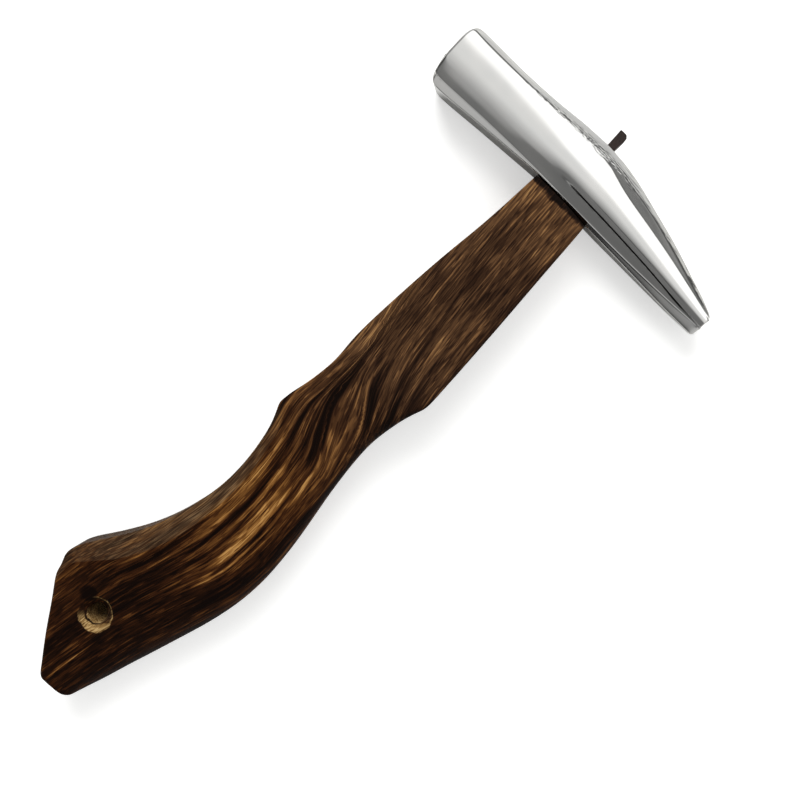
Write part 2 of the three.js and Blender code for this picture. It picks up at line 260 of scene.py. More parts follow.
def close_block(bm):
    """Mirrors half a block in the mid plane, makes one face of each end, and gives both end faces."""
    bmesh.ops.mirror(bm, geom=[*bm.verts, *bm.edges, *bm.faces], matrix=Matrix(), merge_dist=MERGE, axis="Z")
    seams = [edge for edge in bm.edges if len(edge.link_faces) == 2
             and all(len(face.verts) >= SIDES_OF_AN_END for face in edge.link_faces)]
    bmesh.ops.dissolve_edges(bm, edges=seams)
    bmesh.ops.recalc_face_normals(bm, faces=bm.faces)
    ends = [face for face in bm.faces if len(face.verts) >= SIDES_OF_AN_END]
    return sorted(ends, key=lambda face: (face.calc_center_median().x, face.calc_center_median().y))


def round_edges(bm, edges, width):
    """Bevels edges in two segments, and marks their vertices as rounded."""
    rounded_edge = bm.verts.layers.float.get("rounded_edge") or bm.verts.layers.float.new("rounded_edge")
    made = bmesh.ops.bevel(bm, geom=edges, offset=width, offset_type="OFFSET", segments=2, profile=0.5,
                           affect="EDGES", material=-1)
    for vert in made["verts"]:
        vert[rounded_edge] = 1


# %% [markdown]
# The head's block: extruded, capped at both ends and mirrored. The cap of the striking face gets two smaller rings,
# each a little further out, which domes it.

# %% The head's block
FACE_DOME = 0.09  # how far each ring stands out from the one round it
FACE_RINGS = (0.74, 0.6)  # size of each ring, as a share of the one round it
head_bm = bmesh.new()
head_column = head_bm.verts.layers.int.new("column")
head_points = [[Vector((along, h, d)) for h, d in head_chain(along)] for along in head_rows]
for end in extrude_chain(head_bm, head_points, head_column):
    head_bm.faces.new(end)
face_cap = close_block(head_bm)[0]
for shrink in FACE_RINGS:
    bmesh.ops.inset_region(head_bm, faces=[face_cap], thickness=0)
    middle = face_cap.calc_center_median()
    bmesh.ops.scale(head_bm, vec=(1, shrink, shrink), space=Matrix.Translation(-middle), verts=face_cap.verts)
    bmesh.ops.translate(head_bm, vec=(-FACE_DOME, 0, 0), verts=face_cap.verts)
print("head block faces:", len(head_bm.faces))

# %% [markdown]
# The eye goes right through. The faces of its two mouths lie in the grid already, so they are deleted, and the open
# loops are bridged. It flares a little towards the top, where the wedge spreads the wood. A narrow bevel keeps its
# rims crisp when the surface is subdivided.

# %% The eye
EYE_FLARE = 1.045
EYE_RIM_WIDTH = 0.4
FACES_UP = 0.5  # a face whose normal has this much of Y, or minus as much, belongs to the top or the underside
eye_middle = HEAD_HEIGHT / MM / 2
for side in (1, -1):
    mouth = [face for face in head_bm.faces if abs(face.calc_center_median().x) < EYE_HALF_LENGTH
             and abs(face.calc_center_median().z) < EYE_HALF_WIDTH and face.normal.y * side > FACES_UP]
    bmesh.ops.delete(head_bm, geom=mouth, context="FACES")
rim = [edge for edge in head_bm.edges if edge.is_boundary]
for vert in {vert for edge in rim for vert in edge.verts if vert.co.y > eye_middle}:
    vert.co.x *= EYE_FLARE
bmesh.ops.bridge_loops(head_bm, edges=rim)
bmesh.ops.recalc_face_normals(head_bm, faces=head_bm.faces)
print("edges round the eye's two mouths:", len(rim))
round_edges(head_bm, rim, EYE_RIM_WIDTH)

# %% [markdown]
# Polishing leaves every crease of the head a little round. Those narrow rounds are what draws the thin bright and
# dark lines along it, so each crease is bevelled, and the surface is subdivided to make facets and rounds flow. Two
# layers of numbers tell the material later how far each vertex lies above the high crease and above the side's edge.

# %% Creases and finish of the head
CREASE_WIDTH = 0.32
LOW_CREASE_WIDTH = 0.26
STEP_WIDTH = 0.06
ALL_ALONG, FROM_EYE, FROM_CHEEK = -60, -1, 3  # along the head, where an edge begins to be rounded
for columns, start, width in (((TOP, HIGH_CREASE, UNDER), ALL_ALONG, CREASE_WIDTH),
                              ((SIDE_UP,), FROM_CHEEK, CREASE_WIDTH),
                              ((LOW_CREASE,), ALL_ALONG, LOW_CREASE_WIDTH),
                              ((LOW_STEP,), ALL_ALONG, STEP_WIDTH),
                              ((SIDE_LOW, SIDE_STEP), FROM_EYE, STEP_WIDTH)):
    edges = column_edges(head_bm, head_column, columns, lambda edge: min(v.co.x for v in edge.verts) > start)
    round_edges(head_bm, edges, width)
for name, row in (("from_crease", CREASE_HEIGHT), ("from_edge", EDGE_HEIGHT)):
    layer = head_bm.verts.layers.float.new(name)
    for vert in head_bm.verts:
        vert[layer] = vert.co.y - curve_at(HEAD_TABLE[ALONG], HEAD_TABLE[row], vert.co.x)
head = place(head_bm, "forged_head")
subdivide(head)
head.data.shade_smooth()
print("head faces before rounding:", len(head.data.polygons))
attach(head, "root")
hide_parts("head")

# %% [markdown]
# The handle is sawn from a board and shaped by hand: flat sides, a bevel along the palm edge, and a generous round
# along the finger edge. Its outline is two edges given station by station, and a section is spanned between them at
# each station.

# %% Outline of the handle
# Places down from the head's underside and off the eye's centre line, for the palm edge and for the finger edge, then
# the width of the palm bevel and of the finger round, all in millimetres
HANDLE_STATIONS = [
    (0.0, -10.5, 0.0, 11.3, 0.6, 1.5),
    (20.0, -11.8, 20.0, 12.6, 0.6, 1.5),
    (40.0, -14.1, 40.0, 14.0, 0.7, 1.4),
    (60.0, -15.7, 57.9, 15.1, 0.9, 1.4),
    (74.9, -16.4, 76.1, 16.0, 1.2, 1.5),
    (85.8, -15.8, 82.8, 13.7, 1.8, 3.5),
    (96.1, -17.1, 89.8, 12.2, 2.6, 5.5),
    (103.0, -18.7, 97.0, 11.3, 3.2, 6.5),
    (108.2, -19.4, 104.0, 11.4, 3.6, 7.0),
    (114.9, -16.6, 112.1, 12.1, 3.5, 7.8),
    (122.8, -14.9, 121.9, 13.4, 3.5, 8.2),
    (131.9, -14.0, 133.0, 15.3, 4.0, 8.8),
    (141.9, -14.3, 144.0, 16.9, 4.6, 9.3),
    (152.1, -16.2, 156.1, 17.7, 5.4, 10.0),
    (162.1, -19.0, 167.9, 16.9, 6.4, 10.8),
    (172.1, -23.3, 180.0, 14.5, 7.3, 11.8),
    (181.9, -29.0, 191.9, 11.1, 7.4, 12.5),
    (190.0, -34.2, 201.9, 8.1, 6.0, 12.8),
    (195.2, -35.9, 207.9, 6.2, 4.0, 12.5),
    (199.3, -34.4, 212.1, 4.9, 2.4, 12.0),
    (203.1, -33.2, 216.1, 3.7, 1.4, 11.5),
    (209.6, -28.8, 220.0, 2.5, 0.8, 11.0),
    (220.0, -22.3, 225.2, 0.7, 0.8, 10.0),
    (228.0, -16.8, 229.6, -0.9, 0.8, 7.9),
    (232.1, -13.8, 231.4, -1.9, 0.8, 5.1),
    (232.6, -11.4, 232.1, -4.1, 0.8, 2.1),
]
HANDLE_TABLE = np.array(HANDLE_STATIONS).T
PALM_CORNER, FINGER_CORNER = 8, 4  # stations where an edge has its bump
NECK_HALF = 8.1
GRIP_HALF = 9.25
FULL_STATION = 5  # from here the handle is as thick as the head
BEVEL_DEPTH = 0.55  # of the palm bevel's width
ROUND_DEPTH = 0.62  # of the finger round's width
ROUND_STEPS = 4
FLAT_SHARES = (0.25, 0.5, 0.75)  # places of the lines on the flat between the bevel and the round


def edge_place(columns, corner, station):
    """A point on one edge of the handle. Its curve is read in two stretches, which keeps the bump a corner."""
    stretch = slice(0, corner + 1) if station <= corner else slice(corner, None)
    numbers = np.arange(len(HANDLE_STATIONS))[stretch]
    down, off = (curve_at(numbers, HANDLE_TABLE[column][stretch], station) for column in columns)
    return Vector((off, -down, 0))


def handle_chain(station):
    """Half a section of the handle as points, from the middle of the palm edge to that of the finger edge."""
    palm = edge_place((0, 1), PALM_CORNER, station)
    finger = edge_place((2, 3), FINGER_CORNER, station)
    stations = range(len(HANDLE_STATIONS))
    bevel, curl = (np.interp(station, stations, HANDLE_TABLE[column]) for column in (4, 5))
    span = (finger - palm).length
    half = np.interp(station, (0, FULL_STATION), (NECK_HALF, GRIP_HALF))
    corner = half - bevel * BEVEL_DEPTH
    pairs = [(0, 0), (0, corner * 0.5), (0, corner), (bevel, half)]
    flat = span - bevel - curl
    pairs += [(bevel + flat * share, half) for share in FLAT_SHARES]
    for turn in range(ROUND_STEPS + 1):
        angle = math.pi / 2 * (1 - turn / ROUND_STEPS)
        pairs.append((span - curl * (1 - math.cos(angle)), half - curl * ROUND_DEPTH * (1 - math.sin(angle))))
    pairs += [(span, pairs[-1][1] / 2), (span, 0)]
    return [palm.lerp(finger, across / span) + Vector((0, 0, depth)) for across, depth in pairs]


print("points in half a section of the handle:", len(handle_chain(0)))

# %% [markdown]
# The same helpers that made the head's block make the handle's. Its first row follows the underside of the head, so
# that the shoulder seats against the steel along its whole width.

# %% The handle's block
SEAT_GAP = 0.3  # between wood and steel
EDGE_SOFTNESS = 0.35
ROWS_PER_STATION = 3
PALM_CREASE, BEVEL_CREASE = 2, 3  # places in the chain of the two creases beside the palm bevel
handle_steps = (len(HANDLE_STATIONS) - 1) * ROWS_PER_STATION
handle_rows = [handle_chain(step / ROWS_PER_STATION) for step in range(handle_steps + 1)]
for point in handle_rows[0]:
    point.y = curve_at(HEAD_TABLE[ALONG], HEAD_TABLE[UNDER_HEIGHT], point.x) - SEAT_GAP
handle_bm = bmesh.new()
handle_column = handle_bm.verts.layers.int.new("column")
for end in extrude_chain(handle_bm, handle_rows, handle_column):
    handle_bm.faces.new(end)
cap_rims = {edge for cap in close_block(handle_bm) for edge in cap.edges}
long_creases = column_edges(handle_bm, handle_column, (PALM_CREASE, BEVEL_CREASE))
round_edges(handle_bm, [*long_creases, *cap_rims], EDGE_SOFTNESS)
handle = place(handle_bm, "pistol_grip")
subdivide(handle)
print("handle rows:", len(handle_rows), "faces before rounding:", len(handle.data.polygons))

# %% [markdown]
# The tenon is the part of the handle that goes up the eye. It was cut with a saw and its corners were pared round, so
# it starts from a box. The kerf that takes the wedge is a saw cut, which the wedge has driven open at the top: it is
# a box as well, narrowed at its foot.

# %% The tenon and the kerf
TENON_TOP = HEAD_HEIGHT / MM - 1  # just under the top of the head
TENON_ROOT = 4  # how far its box reaches down into the handle
TENON_CORNER = 1.9
KERF_OVERRUN = 4  # how far the saw cut's box reaches past the tenon's end
WEDGE_HALF_THICK = 1.67
WEDGE_HALF_THIN = 0.6


def make_box(size, top):
    """A box of the given size in millimetres, centred on the eye, with its top at a height above the underside."""
    bm = bmesh.new()
    bmesh.ops.create_cube(bm, size=1)
    bmesh.ops.scale(bm, vec=size, verts=bm.verts)
    bmesh.ops.translate(bm, vec=(0, top - size.y / 2, 0), verts=bm.verts)
    return bm


tenon_size = Vector((2 * (EYE_HALF_LENGTH - SEAT_GAP), TENON_TOP + TENON_ROOT, 2 * (EYE_HALF_WIDTH - SEAT_GAP)))
tenon_bm = make_box(tenon_size, TENON_TOP)
upright = [edge for edge in tenon_bm.edges if edge.calc_length() > tenon_size.y - MERGE]
bmesh.ops.bevel(tenon_bm, geom=upright, offset=TENON_CORNER, offset_type="OFFSET", segments=5, profile=0.5,
                affect="EDGES", material=-1)
tenon = place(tenon_bm, "tenon")

wedge_foot = (wedge_low.y - eye.y) / MM
kerf_size = Vector((2 * (WEDGE_HALF_THICK + SEAT_GAP), TENON_TOP + KERF_OVERRUN - wedge_foot, 2 * EYE_HALF_WIDTH))
kerf_bm = make_box(kerf_size, wedge_foot - SEAT_GAP + kerf_size.y)
for vert in kerf_bm.verts:
    if vert.co.y < TENON_TOP:
        vert.co.x *= (WEDGE_HALF_THIN + SEAT_GAP) / (WEDGE_HALF_THICK + SEAT_GAP)
kerf = place(kerf_bm, "kerf")
print("tenon in mm:", [round(v, 1) for v in tenon_size], "kerf in mm:", [round(v, 1) for v in kerf_size])

# %% [markdown]
# The hang hole was drilled, and its rims were opened with a knife, so they aren't quite round. Half the outline of
# that tool is spun round its axis, and the two wide ends are then pushed a little out of true.

# %% The hang hole
HOLE_CENTRE = (-14.5, -202.6)  # off the eye's centre line, down from the underside
HOLE_BORE = 3.5
HOLE_RIM = 6.1
HOLE_SINK = 2.0
HOLE_OVERRUN = 1.0
HOLE_STEPS = 64
KNIFE_NARROW, KNIFE_LONG, KNIFE_SHIFT = 0.9, 1.06, 0.5  # how the rim departs from round, towards the butt

hole_bm = bmesh.new()
reach = GRIP_HALF + HOLE_OVERRUN
wide = HOLE_RIM + (HOLE_RIM - HOLE_BORE) * HOLE_OVERRUN / HOLE_SINK
profile = [(0, -reach), (wide, -reach), (HOLE_BORE, HOLE_SINK - GRIP_HALF), (HOLE_BORE, GRIP_HALF - HOLE_SINK),
           (wide, reach), (0, reach)]
profile_verts = [hole_bm.verts.new((radius, 0, height)) for radius, height in profile]
profile_edges = [hole_bm.edges.new(pair) for pair in zip(profile_verts, profile_verts[1:])]
bmesh.ops.spin(hole_bm, geom=[*profile_verts, *profile_edges], axis=(0, 0, 1), cent=(0, 0, 0), dvec=(0, 0, 0),
               angle=2 * math.pi, steps=HOLE_STEPS, use_merge=True, use_duplicate=False)
bmesh.ops.remove_doubles(hole_bm, verts=hole_bm.verts, dist=MERGE)
for vert in hole_bm.verts:
    if abs(vert.co.z) > GRIP_HALF:
        vert.co.x *= KNIFE_NARROW
        vert.co.y = vert.co.y * KNIFE_LONG - KNIFE_SHIFT
bmesh.ops.translate(hole_bm, vec=(*HOLE_CENTRE, 0), verts=hole_bm.verts)
hole = place(hole_bm, "hole")
print("faces of the hole's tool:", len(hole.data.polygons))

# %% [markdown]
# One addition and two cuts make the block a handle. The tools are plain closed solids, so boolean modifiers join and
# cut with them as glue, a saw and a drill would. Edges that they left sharp stay sharp in the shading.

# %% Joining and cutting the handle
SHARP_ANGLE = math.radians(32)
for tool, operation in ((tenon, "UNION"), (kerf, "DIFFERENCE"), (hole, "DIFFERENCE")):
    cut = handle.modifiers.new(tool.name, "BOOLEAN")
    cut.object = tool
    cut.operation = operation
    cut.solver = "EXACT"
write_modifiers(handle)
for tool in (tenon, kerf, hole):
    bpy.data.objects.remove(tool)
handle.data.shade_smooth()
sharp_bm = bmesh.new()
sharp_bm.from_mesh(handle.data)
for edge in sharp_bm.edges:
    edge.smooth = edge.calc_face_angle(0) < SHARP_ANGLE
sharp_bm.to_mesh(handle.data)
sharp_bm.free()
print("handle faces:", len(handle.data.polygons))
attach(handle, "root")
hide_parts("handle")

# %% [markdown]
# The board's grain doesn't follow the sawn outline. It runs nearly straight below the head, crosses the middle
# steeply, where it shows as flames, and bends along the grip. A straight stretched texture can't do that. So five
# lines of the grain are laid down, and each vertex is told where it lies between them, which is stored on the mesh.

# %% Grain of the wood
# For each line its place across the board, then (down the hammer, across it) pairs in millimetres of the row frame
GRAIN_LINES = [
    (-14, [(100, -32), (80, -27), (60, -20), (40, -15), (30, -13), (10, -13.5), (0, -14.5), (-10, -12.5), (-20, -11),
           (-45, -10.5), (-55, -12), (-65, -14), (-75, -16.5), (-85, -20), (-100, -23), (-130, -28)]),
    (0, [(100, -18), (80, -16.5), (60, -15), (40, -13), (20, -10.5), (5, -8), (0, -5), (-5, -2), (-10, 1.2),
         (-20, 3.6), (-30, 4.9), (-40, 5.6), (-50, 5.5), (-60, 4.2), (-70, 1), (-80, -2.3), (-90, -5.3), (-100, -8),
         (-130, -13)]),
    (5, [(100, -13), (80, -11.5), (60, -10), (40, -8.3), (30, -7), (20, -5), (8, 3), (0, 5.5), (-10, 8), (-30, 9.5),
         (-50, 10.5), (-60, 9.5), (-80, 3.7), (-100, -2), (-130, -8)]),
    (10, [(100, -10), (70, -7.5), (50, -5.5), (35, -3.2), (27, -1), (15, 4), (5, 8), (0, 10), (-10, 12.5),
          (-30, 14.5), (-50, 15.5), (-60, 14.5), (-80, 9.2), (-100, 3), (-130, -3)]),
    (24, [(100, 8), (80, 9), (60, 10.5), (40, 12), (27, 13.5), (15, 16), (0, 20), (-10, 21), (-30, 23), (-50, 24),
          (-60, 22), (-80, 17), (-100, 11), (-130, 5)]),
]
GRAIN_FROM, GRAIN_TO = -100, 130  # how far the lines run, down the hammer
GRAIN_BEYOND = 20  # the first and the last line are repeated this far out
points = np.empty(3 * len(handle.data.vertices))
handle.data.vertices.foreach_get("co", points)
points = points.reshape(-1, 3) / MM
down = np.clip(-points[:, 1], GRAIN_FROM, GRAIN_TO)
lines = [(value, curve_at([-y for y, x in pairs], [x for y, x in pairs], down)) for value, pairs in GRAIN_LINES]
lines.insert(0, (lines[0][0] - GRAIN_BEYOND, lines[0][1] - GRAIN_BEYOND))
lines.append((lines[-1][0] + GRAIN_BEYOND, lines[-1][1] + GRAIN_BEYOND))
across = np.full(len(points), float(lines[0][0]))
for (value, line), (next_value, next_line) in zip(lines, lines[1:]):
    across += (next_value - value) * np.clip((points[:, 0] - line) / (next_line - line), 0, 1)
grain = handle.data.attributes.new("grain", "FLOAT_VECTOR", "POINT")
grain.data.foreach_set("vector", np.column_stack((across, points[:, 1], points[:, 2])).ravel())
print("grain across the board, mm:", round(across.min(), 1), "to", round(across.max(), 1))

# %% [markdown]
# The wedge is a bar of blackened steel, driven into the kerf. It stands proud of the head. Its driven end was
# chamfered, and the hammer that drove it left its corners uneven.

# %% The wedge
WEDGE_ROUND = 0.3
WEDGE_CHAMFER = 0.95
wedge_size = (wedge_high - wedge_low) / MM
wedge_middle = ((wedge_low + wedge_high) / 2 - eye) / MM
wedge_bm = make_box(wedge_size, (wedge_high.y - eye.y) / MM)
for vert in wedge_bm.verts:
    if vert.co.y < wedge_middle.y:
        vert.co.x *= WEDGE_HALF_THIN / (wedge_size.x / 2)
far_corner = [edge for edge in wedge_bm.edges if min(v.co.y for v in edge.verts) > wedge_middle.y
              and min(v.co.x for v in edge.verts) > 0]
bmesh.ops.bevel(wedge_bm, geom=far_corner, offset=WEDGE_CHAMFER, offset_type="OFFSET", segments=1, profile=0.5,
                affect="EDGES", material=-1)
round_edges(wedge_bm, [edge for edge in wedge_bm.edges if max(v.co.y for v in edge.verts) > wedge_middle.y],
            WEDGE_ROUND)
wedge = place(wedge_bm, "driven_wedge")
print("wedge in mm:", [round(v, 1) for v in wedge_size], "faces:", len(wedge.data.polygons))
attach(wedge, "root")
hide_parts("wedge")


# %% [markdown]
# Materials are trees of nodes. One helper adds any node, sets what it is told to set, and links or fills its sockets.
# Colours are written as the eye sees them, in sRGB hex, and turned to linear light here.

# %% Helpers for materials
def linear(hex_colour):
    """An sRGB hex colour as linear RGBA."""
    parts = [int(hex_colour[i:i + 2], 16) / 255 for i in (1, 3, 5)]
    return [*(p / 12.92 if p <= 0.04045 else ((p + 0.055) / 1.055) ** 2.4 for p in parts), 1]


def add(tree, kind, inputs=None, stops=None, **settings):
    """Adds a node. inputs fills or links its sockets, and stops sets the colours of a ramp."""
    made = tree.nodes.new(kind)
    for name, value in settings.items():
        setattr(made, name, value)
    for socket, value in (inputs or {}).items():
        if isinstance(value, bpy.types.NodeSocket):
            tree.links.new(value, made.inputs[socket])
        else:
            made.inputs[socket].default_value = value
    for number, (position, colour) in enumerate(stops or ()):
        ramp = made.color_ramp.elements
        element = ramp[number] if number < 2 else ramp.new(position)
        element.position = position
        element.color = linear(colour) if isinstance(colour, str) else (colour, colour, colour, 1)
    return made


def new_material(name):
    """An empty material, its tree and its output node."""
    made = bpy.data.materials.new(name)
    made.use_nodes = True
    made.node_tree.nodes.clear()
    return made, made.node_tree, made.node_tree.nodes.new("ShaderNodeOutputMaterial")


def add_noises(tree, vector, sizes, unit):
    """One noise for each name, stretched to its size in millimetres along the three axes of the vector."""
    made = {}
    for name, (size, detail) in sizes.items():
        scaled = add(tree, "ShaderNodeMapping", {"Vector": vector, "Scale": [unit / length for length in size]})
        noise = add(tree, "ShaderNodeTexNoise", {"Vector": scaled.outputs[0], "Scale": 1.0, "Detail": detail})
        made[name] = noise.outputs["Fac"]
    return made


# %% [markdown]
# The head is polished to a mirror, so its look is nearly all reflection. What tells it from plated steel is hand
# work: the flats are a little wavy, fine polishing lines run along it, longer lines lie on the peen's upper facet, and
# the crease above the side has small nicks where the file slipped. All four are bumps, each laid over the one before.
# Real polishing lines are finer than a pixel, so they are drawn coarser, at 0.3 mm.

# %% Relief of the polished steel
STEEL_SIZES = {"cloud": ((14, 9, 9), 2), "waves": ((20, 7, 7), 1), "lines": ((16, 0.3, 0.3), 2),
               "nicks": ((1.9, 0.5, 0.5), 1), "drawn": ((50, 1.1, 1.1), 1)}
WAVE_HEIGHT = 0.02 * MM
DRAWN_HEIGHT = 0.13 * MM
LINE_HEIGHT = 0.0006 * MM
NICK_HEIGHT = 0.26 * MM
DRAWN_ABOVE = 0.4  # mm above the crease, where the long lines are full
DRAWN_FULL = 8 * MM  # along the head, where they are full
NICK_REACH, NICK_NEAR = 1.1, 0.2  # mm from the crease, where the nicks end and where they are full
NICKS_FROM, NICKS_FULL, NICKS_FADE, NICKS_TO = -38 * MM, -8 * MM, 0.0, 18 * MM  # along the head
steel, tree, output = new_material("mirror_polished_steel")
where = add(tree, "ShaderNodeTexCoord").outputs["Object"]
noise = add_noises(tree, where, STEEL_SIZES, 1 / MM)
along = add(tree, "ShaderNodeSeparateXYZ", {0: where}).outputs["X"]
crease = add(tree, "ShaderNodeAttribute", attribute_name="from_crease").outputs["Fac"]
distance = add(tree, "ShaderNodeMath", {0: crease}, operation="ABSOLUTE").outputs[0]
uneven = add(tree, "ShaderNodeMath", {0: noise["nicks"], 1: 0.5}, operation="SUBTRACT").outputs[0]
heights = []
for height, limits in ((noise["drawn"], ((crease, 0.0, DRAWN_ABOVE), (along, 0.0, DRAWN_FULL))),
                       (uneven, ((along, NICKS_FROM, NICKS_FULL), (along, NICKS_TO, NICKS_FADE),
                                 (distance, NICK_REACH, NICK_NEAR)))):
    for value, none, full in limits:
        share = add(tree, "ShaderNodeMapRange", {"Value": value, "From Min": none, "From Max": full})
        height = add(tree, "ShaderNodeMath", {0: height, 1: share.outputs[0]}, operation="MULTIPLY").outputs[0]
    heights.append(height)
drawn, nicked = heights
relief = add(tree, "ShaderNodeBump", {"Height": noise["waves"], "Distance": WAVE_HEIGHT}).outputs[0]
for height, most in ((drawn, DRAWN_HEIGHT), (noise["lines"], LINE_HEIGHT), (nicked, NICK_HEIGHT)):
    relief = add(tree, "ShaderNodeBump", {"Height": height, "Distance": most, "Normal": relief}).outputs[0]
print("nodes for the steel's relief:", len(tree.nodes))

# %% [markdown]
# Cloudy patches and worn creases differ in gloss only. What stands out is a painted dark reflection in the step
# along the side's lower edge, as a line that wanders a little, and a fainter line above it. It is painted dark over
# the steel's colour and makes it rougher.

# %% Gloss and painted dark reflection
CLOUD_FROM, CLOUD_TO = 0.3, 0.7  # the noise lies between these
GLOSSIEST, DULLEST = 0.05, 0.11  # roughness of the cloudy patches
WORN_ROUGHER, BLACK_ROUGHER = 0.05, 0.3
STEEL_COLOURS = [(CLOUD_FROM, "#cfcfcd"), (CLOUD_TO, "#d6d5d2")]  # bright, slightly warm where the polish thins
# A painted dark reflection, standing in for the dark surroundings that the step mirrors
DARK_REFLECTION_COLOUR = "#1b1b1a"
# For each painted dark line, in millimetres: middle and half width, up from the edge, then where the line starts, is
# full and ends along the head, and how black it gets
DARK_REFLECTION_LINES = [(-0.34, 0.24, -7, 2, 60, 1.0), (1.3, 0.08, 1, 12, 50, 0.6)]
BLACK_WANDER = 0.14
BLACK_SOFT = 0.12  # width of its soft edges
BLACK_FADE = 12  # over which length it ends
edge = add(tree, "ShaderNodeAttribute", attribute_name="from_edge").outputs["Fac"]
edge = add(tree, "ShaderNodeMath", {0: noise["nicks"], 1: BLACK_WANDER, 2: edge}, operation="MULTIPLY_ADD").outputs[0]
black = None
for middle, half, starts, full, ends, most in DARK_REFLECTION_LINES:
    away = add(tree, "ShaderNodeMath", {0: edge, 1: middle + BLACK_WANDER / 2}, operation="SUBTRACT")
    away = add(tree, "ShaderNodeMath", {0: away.outputs[0]}, operation="ABSOLUTE")
    line = add(tree, "ShaderNodeMapRange", {"Value": away.outputs[0], "From Min": half + BLACK_SOFT,
                                            "From Max": half, "To Max": most}).outputs[0]
    for fade_from, fade_to in ((starts, full), (ends, ends - BLACK_FADE)):
        fade = add(tree, "ShaderNodeMapRange", {"Value": along, "From Min": fade_from * MM, "From Max": fade_to * MM})
        line = add(tree, "ShaderNodeMath", {0: line, 1: fade.outputs[0]}, operation="MULTIPLY").outputs[0]
    black = add(tree, "ShaderNodeMath", {0: line, 1: black}, operation="MAXIMUM").outputs[0] if black else line
rounded_edge = add(tree, "ShaderNodeAttribute", attribute_name="rounded_edge").outputs["Fac"]
rough = add(tree, "ShaderNodeMapRange", {"Value": noise["cloud"], "From Min": CLOUD_FROM, "From Max": CLOUD_TO,
                                         "To Min": GLOSSIEST, "To Max": DULLEST}).outputs[0]
for share, rougher in ((rounded_edge, WORN_ROUGHER), (black, BLACK_ROUGHER)):
    rough = add(tree, "ShaderNodeMath", {0: share, 1: rougher, 2: rough}, operation="MULTIPLY_ADD").outputs[0]
tint = add(tree, "ShaderNodeValToRGB", {0: noise["cloud"]}, stops=STEEL_COLOURS).outputs["Color"]
tint = add(tree, "ShaderNodeMix", {"Factor": black, "A": tint, "B": linear(DARK_REFLECTION_COLOUR)},
           data_type="RGBA").outputs["Result"]
shader = add(tree, "ShaderNodeBsdfPrincipled", {"Base Color": tint, "Metallic": 1.0, "Roughness": rough,
                                                "Normal": relief})
tree.links.new(shader.outputs["BSDF"], output.inputs["Surface"])
head.data.materials.append(steel)
print("nodes for the steel:", len(tree.nodes))

# %% [markdown]
# The hardwood is dark brown with golden bands and short light fibres. Its figure is stretched noise of several sizes,
# read along the lines of the grain. Real pores and fibres are finer than a pixel, so they are drawn coarser, at
# 0.36 mm. The figure is one number, the tone, and a ramp turns it into the wood's colours later.

# %% Figure of the wood
WOOD_SIZES = {"bands": ((2.6, 60, 7), 2), "streaks": ((0.6, 24, 1.6), 2), "fibres": ((0.36, 8, 0.8), 1),
              "pores": ((0.36, 4, 0.4), 0), "flecks": ((0.5, 10, 0.8), 0), "drift": ((9, 26, 12), 1),
              "patches": ((11, 16, 9), 2)}
# How much each of them swings the tone, and whether the contrast along the hammer governs it
SWINGS = [("bands", 2.2, True), ("streaks", 0.5, False), ("fibres", 0.5, False), ("patches", 0.3, False)]
# For the thin spots, where the noise begins and ends to show, and how much lighter they are
SPOTS = [("pores", 0.42, 0.34, -0.14), ("flecks", 0.6, 0.64, 0.2)]
WOOD_FROM, WOOD_TO = -130.0, 105.0  # the wood's two ends along the hammer, in millimetres
# Tone and contrast of the figure at places along the hammer, in millimetres
TONE_ALONG = [(-130, 0.15), (-100, 0.18), (-72, 0.22), (-50, 0.4), (-20, 0.34), (0, 0.21), (14, 0.18), (30, 0.38),
              (45, 0.43), (60, 0.38), (78, 0.42), (92, 0.57), (103, 0.57)]
FIGURE_ALONG = [(-130, 0.3), (-90, 0.35), (-60, 0.8), (-20, 0.95), (12, 0.95), (30, 0.5), (50, 0.25), (103, 0.15)]


def along_wood(table):
    """Stops of a ramp from one end of the wood to the other, from (millimetres, value) pairs."""
    return [((y - WOOD_FROM) / (WOOD_TO - WOOD_FROM), value) for y, value in table]


wood, tree, output = new_material("dark_hardwood")
grain = add(tree, "ShaderNodeAttribute", attribute_name="grain").outputs["Vector"]
noise = add_noises(tree, grain, WOOD_SIZES, 1)
axes = add(tree, "ShaderNodeSeparateXYZ", {0: grain})
height = add(tree, "ShaderNodeMapRange", {"Value": axes.outputs["Y"], "From Min": WOOD_FROM, "From Max": WOOD_TO})
tone, contrast = (add(tree, "ShaderNodeValToRGB", {0: height.outputs[0]}, stops=along_wood(table)).outputs["Color"]
                  for table in (TONE_ALONG, FIGURE_ALONG))
for name, strength, governed in SWINGS:
    swing = add(tree, "ShaderNodeMath", {0: noise[name], 1: 0.5}, operation="SUBTRACT").outputs[0]
    if governed:
        swing = add(tree, "ShaderNodeMath", {0: swing, 1: contrast}, operation="MULTIPLY").outputs[0]
    tone = add(tree, "ShaderNodeMath", {0: swing, 1: strength, 2: tone}, operation="MULTIPLY_ADD").outputs[0]
spots = {}
for name, begins, full, lighter in SPOTS:
    spots[name] = add(tree, "ShaderNodeMapRange", {"Value": noise[name], "From Min": begins,
                                                   "From Max": full}).outputs[0]
    tone = add(tree, "ShaderNodeMath", {0: spots[name], 1: lighter, 2: tone}, operation="MULTIPLY_ADD").outputs[0]
print("nodes for the wood's figure:", len(tree.nodes))
